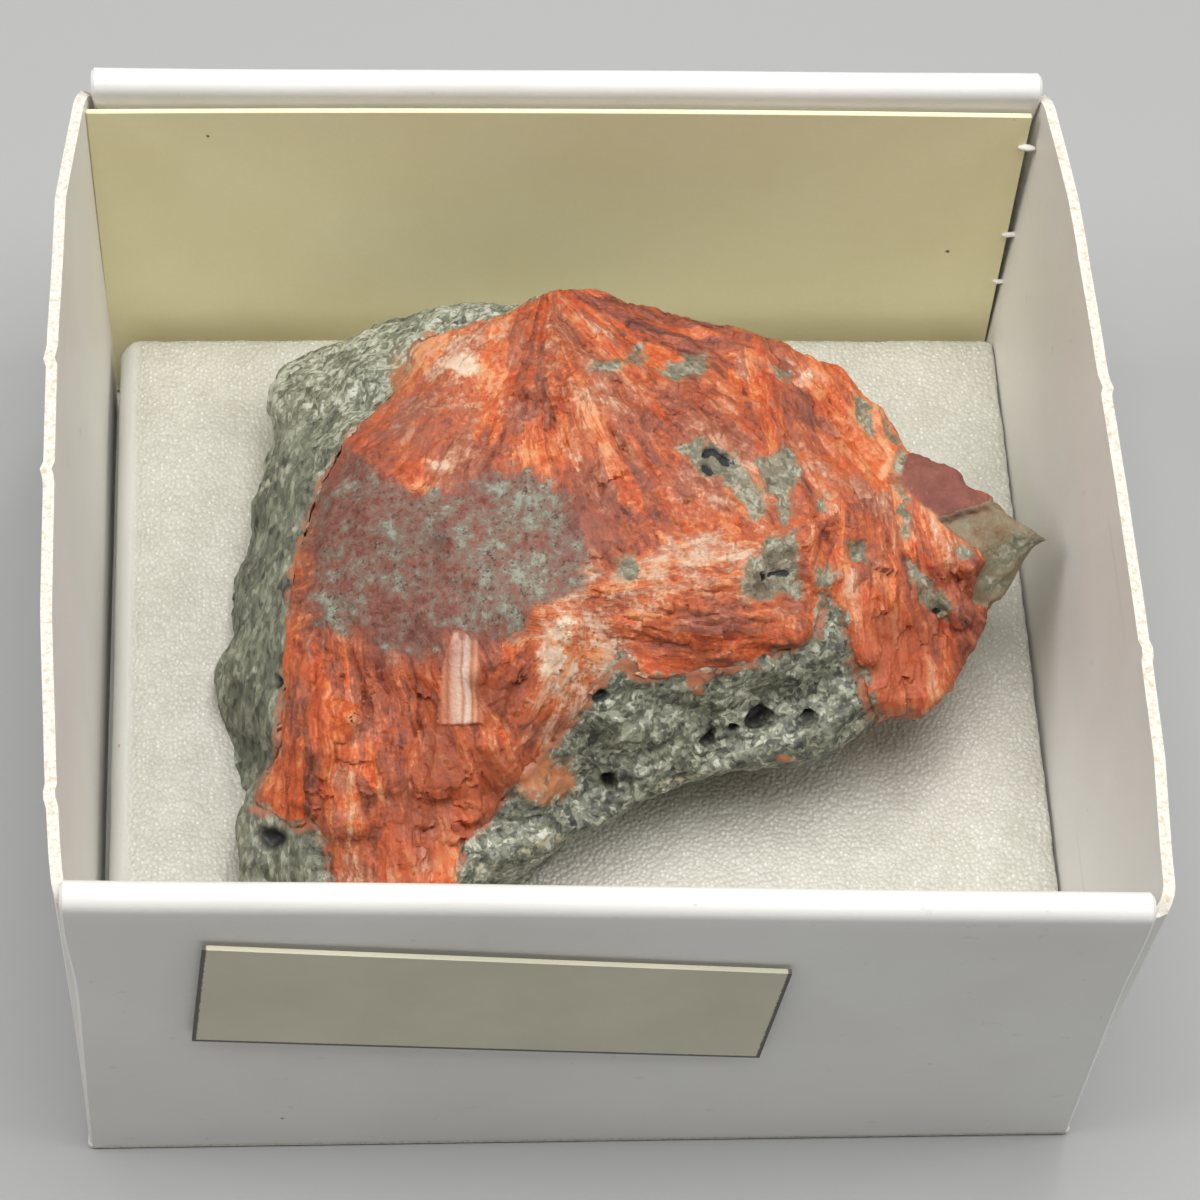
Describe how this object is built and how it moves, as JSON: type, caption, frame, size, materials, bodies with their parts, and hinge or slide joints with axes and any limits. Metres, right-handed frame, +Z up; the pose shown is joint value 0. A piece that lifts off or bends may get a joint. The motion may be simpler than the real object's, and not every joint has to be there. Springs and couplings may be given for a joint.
{
  "type": "stellerite specimen in a card tray",
  "caption": "Hand specimen of stellerite: a domed orange-red crust of crystal blades on grey rock, resting on a foam pad in a small open folded card tray with a bare name card and sticker.",
  "frame": {"origin": "centre of the tray's underside", "axes": "+X to the right along the front wall, +Y from the front wall to the back wall, +Z up out of the tray"},
  "size_m": [0.0426, 0.0405, 0.02],
  "materials": {
    "tray_board": "smooth white liner",
    "foam": "fine closed-cell foam",
    "label_paper": "matte cream card",
    "sticker_paper": "matte cream paper",
    "rock": "rough granular",
    "stellerite": "vitreous blades, pearly on cleavage"
  },
  "bodies": {
    "root": {"tray": "tray_board", "foam_pad": "foam", "label_card": "label_paper", "number_sticker": "sticker_paper", "matrix_rock": "rock", "stellerite_crust": "stellerite"}
  },
  "joints": []
}
